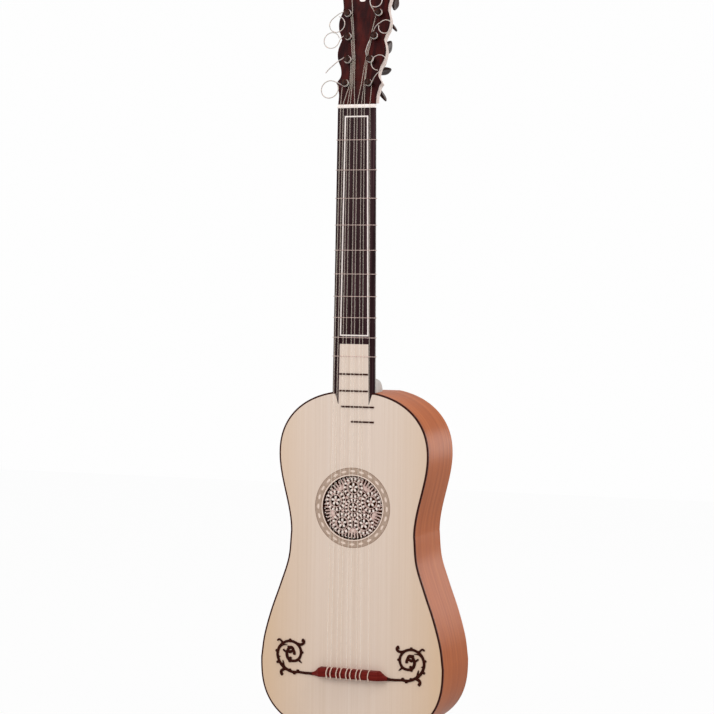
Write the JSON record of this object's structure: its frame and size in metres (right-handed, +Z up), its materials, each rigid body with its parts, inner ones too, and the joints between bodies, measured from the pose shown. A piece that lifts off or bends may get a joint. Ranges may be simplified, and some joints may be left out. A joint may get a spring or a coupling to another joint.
{
  "type": "baroque guitar",
  "caption": "Five-course baroque guitar with a raked scalloped head, friction pegs, tied gut frets, pierced rose and scroll-ended bridge.",
  "frame": {"origin": "middle of the nut's front edge, on the plane shared by the fingerboard and the soundboard, where a neck hanger holds the instrument", "axes": "+Z up the neck to the head, +Y from the soundboard into the body, +X to the treble side"},
  "size_m": [0.2264, 0.1029, 0.8922],
  "materials": {
    "spruce": "satin varnish",
    "rib_wood": "varnish",
    "maple": "satin varnish",
    "dark_board": "oiled",
    "veneer": "varnish",
    "bone": "polished",
    "gut": "smooth",
    "ebony": "polished",
    "bridge_wood": "oiled",
    "inner_spruce": "bare",
    "rosette": "flush inlay",
    "parchment": "matt"
  },
  "bodies": {
    "guitar": {"soundboard": "spruce", "back": "rib_wood", "rib_bass": "rib_wood", "rib_treble": "rib_wood", "front_binding": "ebony", "front_lining": "inner_spruce", "back_lining": "inner_spruce", "neck": "maple", "neck_block": "inner_spruce", "end_block": "inner_spruce", "fingerboard": "dark_board", "fingerboard_inlay": "bone", "head": "maple", "head_veneer": "veneer", "nut": "bone", "rosette_ring": "rosette", "rose": "parchment", "bridge": "bridge_wood", "scroll_bass": "ebony", "scroll_treble": "ebony", "soundboard_bar_upper": "inner_spruce", "soundboard_bar_lower": "inner_spruce", "string_1": "gut", "string_2": "gut", "string_3": "gut", "string_4": "gut", "string_5": "gut", "string_6": "gut", "string_7": "gut", "string_8": "gut", "string_9": "gut", "tied_fret_01": "gut", "tied_fret_02": "gut", "tied_fret_03": "gut", "tied_fret_04": "gut", "tied_fret_05": "gut", "tied_fret_06": "gut", "tied_fret_07": "gut", "tied_fret_08": "gut", "tied_fret_09": "gut", "tied_fret_10": "gut"},
    "peg_bass_1_turning": {"peg_bass_1": "ebony", "string_winding_1": "gut"},
    "peg_bass_2_turning": {"peg_bass_2": "ebony", "string_winding_2": "gut"},
    "peg_bass_3_turning": {"peg_bass_3": "ebony", "string_winding_3": "gut"},
    "peg_bass_4_turning": {"peg_bass_4": "ebony", "string_winding_4": "gut"},
    "peg_bass_5_turning": {"peg_bass_5": "ebony", "string_winding_5": "gut"},
    "peg_treble_1_turning": {"peg_treble_1": "ebony", "string_winding_9": "gut"},
    "peg_treble_2_turning": {"peg_treble_2": "ebony", "string_winding_8": "gut"},
    "peg_treble_3_turning": {"peg_treble_3": "ebony", "string_winding_7": "gut"},
    "peg_treble_4_turning": {"peg_treble_4": "ebony", "string_winding_6": "gut"},
    "peg_treble_5_turning": {"peg_treble_5": "ebony"}
  },
  "joints": [
    {"name": "peg_bass_1_turn", "type": "hinge", "parent": "guitar", "child": "peg_bass_1_turning", "pos_m": [-0.01432, 0.00565, 0.02737], "axis": [0, 0.9763, -0.2164], "continuous": true},
    {"name": "peg_bass_2_turn", "type": "hinge", "parent": "guitar", "child": "peg_bass_2_turning", "pos_m": [-0.0137, 0.01171, 0.05471], "axis": [0, 0.9763, -0.2164], "continuous": true},
    {"name": "peg_bass_3_turn", "type": "hinge", "parent": "guitar", "child": "peg_bass_3_turning", "pos_m": [-0.01617, 0.01777, 0.08204], "axis": [0, 0.9763, -0.2164], "continuous": true},
    {"name": "peg_bass_4_turn", "type": "hinge", "parent": "guitar", "child": "peg_bass_4_turning", "pos_m": [-0.01905, 0.02383, 0.10938], "axis": [0, 0.9763, -0.2164], "continuous": true},
    {"name": "peg_bass_5_turn", "type": "hinge", "parent": "guitar", "child": "peg_bass_5_turning", "pos_m": [-0.0206, 0.02989, 0.13671], "axis": [0, 0.9763, -0.2164], "continuous": true},
    {"name": "peg_treble_1_turn", "type": "hinge", "parent": "guitar", "child": "peg_treble_1_turning", "pos_m": [0.01432, 0.00565, 0.02737], "axis": [0, 0.9763, -0.2164], "continuous": true},
    {"name": "peg_treble_2_turn", "type": "hinge", "parent": "guitar", "child": "peg_treble_2_turning", "pos_m": [0.0137, 0.01171, 0.05471], "axis": [0, 0.9763, -0.2164], "continuous": true},
    {"name": "peg_treble_3_turn", "type": "hinge", "parent": "guitar", "child": "peg_treble_3_turning", "pos_m": [0.01617, 0.01777, 0.08204], "axis": [0, 0.9763, -0.2164], "continuous": true},
    {"name": "peg_treble_4_turn", "type": "hinge", "parent": "guitar", "child": "peg_treble_4_turning", "pos_m": [0.01905, 0.02383, 0.10938], "axis": [0, 0.9763, -0.2164], "continuous": true},
    {"name": "peg_treble_5_turn", "type": "hinge", "parent": "guitar", "child": "peg_treble_5_turning", "pos_m": [0.0206, 0.02989, 0.13671], "axis": [0, 0.9763, -0.2164], "continuous": true}
  ]
}
